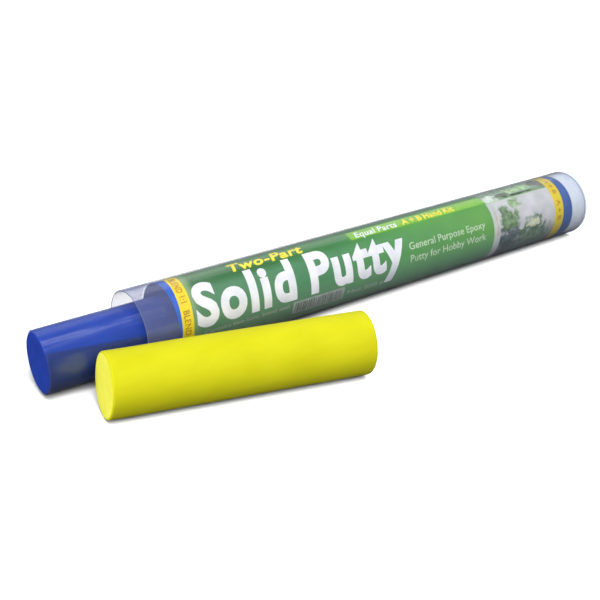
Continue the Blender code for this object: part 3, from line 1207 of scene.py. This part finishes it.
def build_backdrop():
    """A pale dome that only the camera sees, so that low views have no dark horizon."""
    paint = Paint("backdrop_paper", roughness=0.9, specular=0.0)
    cloud = paint.noise(3.0, detail=1.0)
    glow = paint.ramp(cloud, [(0.3, (0.96, 0.96, 0.97, 1.0)), (0.7, (1.0, 1.0, 1.0, 1.0))])
    paint.link(glow, paint.shader.inputs["Emission Color"])
    paint.shader.inputs["Emission Strength"].default_value = 1.0
    bm = bmesh.new()
    bmesh.ops.create_uvsphere(bm, u_segments=48, v_segments=24, radius=BACKDROP_RADIUS)
    dome = stage_piece("backdrop", bm, paint)
    dome.visible_diffuse = False
    dome.visible_glossy = False
    dome.visible_transmission = False
    dome.visible_volume_scatter = False
    dome.visible_shadow = False


def softbox(name, location, wide, tall, power, mirrored):
    """A rectangular lamp that faces the origin, mirrored in glossy surfaces or not."""
    lamp = bpy.data.lights.new(name, "AREA")
    lamp.shape = "RECTANGLE"
    lamp.size = wide
    lamp.size_y = tall
    lamp.energy = power
    holder = bpy.data.objects.new(name, lamp)
    bpy.context.scene.collection.objects.link(holder)
    holder.location = location
    holder.rotation_euler = (-Vector(location)).to_track_quat("-Z", "Y").to_euler()
    holder.visible_glossy = mirrored
    return holder


def light_only(lamp, target):
    """Let a lamp light one object and nothing else."""
    receivers = bpy.data.collections.new(lamp.name + "_only")
    receivers.objects.link(target)
    lamp.light_linking.receiver_collection = receivers


def build_lights(floor):
    """The softboxes, and an even light for the floor alone."""
    for box in SOFTBOXES:
        softbox(*box)
    sun = bpy.data.lights.new("floor_sun", "SUN")
    sun.energy = FLOOR_SUN
    sun.angle = math.radians(FLOOR_SUN_SPREAD_DEG)
    lamp = bpy.data.objects.new("floor_sun", sun)
    bpy.context.scene.collection.objects.link(lamp)
    lamp.rotation_euler = Vector(FLOOR_SUN_WAY).to_track_quat("-Z", "Y").to_euler()
    light_only(lamp, floor)


def light_streak(film):
    """A narrow lamp that only the film sees, for the long streaks on its creases."""
    light_only(softbox(*STREAK_STRIP), film)


def build_world():
    """Room light: brighter overhead than at the horizon."""
    world = bpy.data.worlds.new("studio")
    world.use_nodes = True
    tree = world.node_tree
    coords = tree.nodes.new("ShaderNodeTexCoord")
    split = tree.nodes.new("ShaderNodeSeparateXYZ")
    ramp = tree.nodes.new("ShaderNodeValToRGB")
    ramp.color_ramp.elements[0].position = 0.0
    ramp.color_ramp.elements[0].color = (0.22, 0.225, 0.235, 1.0)
    ramp.color_ramp.elements[1].position = 0.8
    ramp.color_ramp.elements[1].color = (0.3, 0.3, 0.31, 1.0)
    tree.links.new(coords.outputs["Generated"], split.inputs["Vector"])
    tree.links.new(split.outputs["Z"], ramp.inputs["Fac"])
    tree.links.new(ramp.outputs["Color"], tree.nodes["Background"].inputs["Color"])
    bpy.context.scene.world = world


def build_camera():
    """The camera looks at a point on the floor just behind the tube."""
    azimuth = math.radians(CAMERA_AZIMUTH_DEG)
    elevation = math.radians(CAMERA_ELEVATION_DEG)
    back = Vector((
        math.sin(azimuth) * math.cos(elevation),
        -math.cos(azimuth) * math.cos(elevation),
        math.sin(elevation),
    ))
    camera = bpy.data.objects.new("camera", bpy.data.cameras.new("camera"))
    camera.data.lens = CAMERA_LENS_MM
    camera.data.clip_start = 0.01
    bpy.context.scene.collection.objects.link(camera)
    aim = Vector((TUBE_LOW.x + AIM_FROM_MOUTH, AXIS_Y + AIM_BEHIND_AXIS, 0.0))
    camera.location = aim + back * CAMERA_DISTANCE
    camera.rotation_euler = (-back).to_track_quat("-Z", "Y").to_euler()
    bpy.context.scene.camera = camera


def write_sizes():
    """Bring the scene up to date."""
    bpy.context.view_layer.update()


def main():
    """Build the studio and the pieces."""
    build_camera()
    build_world()
    build_lights(build_floor())
    build_backdrop()
    build_tube()
    build_label()
    build_inks()
    build_plugs()
    build_bars()
    settings = bpy.context.scene.view_settings
    settings.view_transform = "Standard"
    write_sizes()


main()
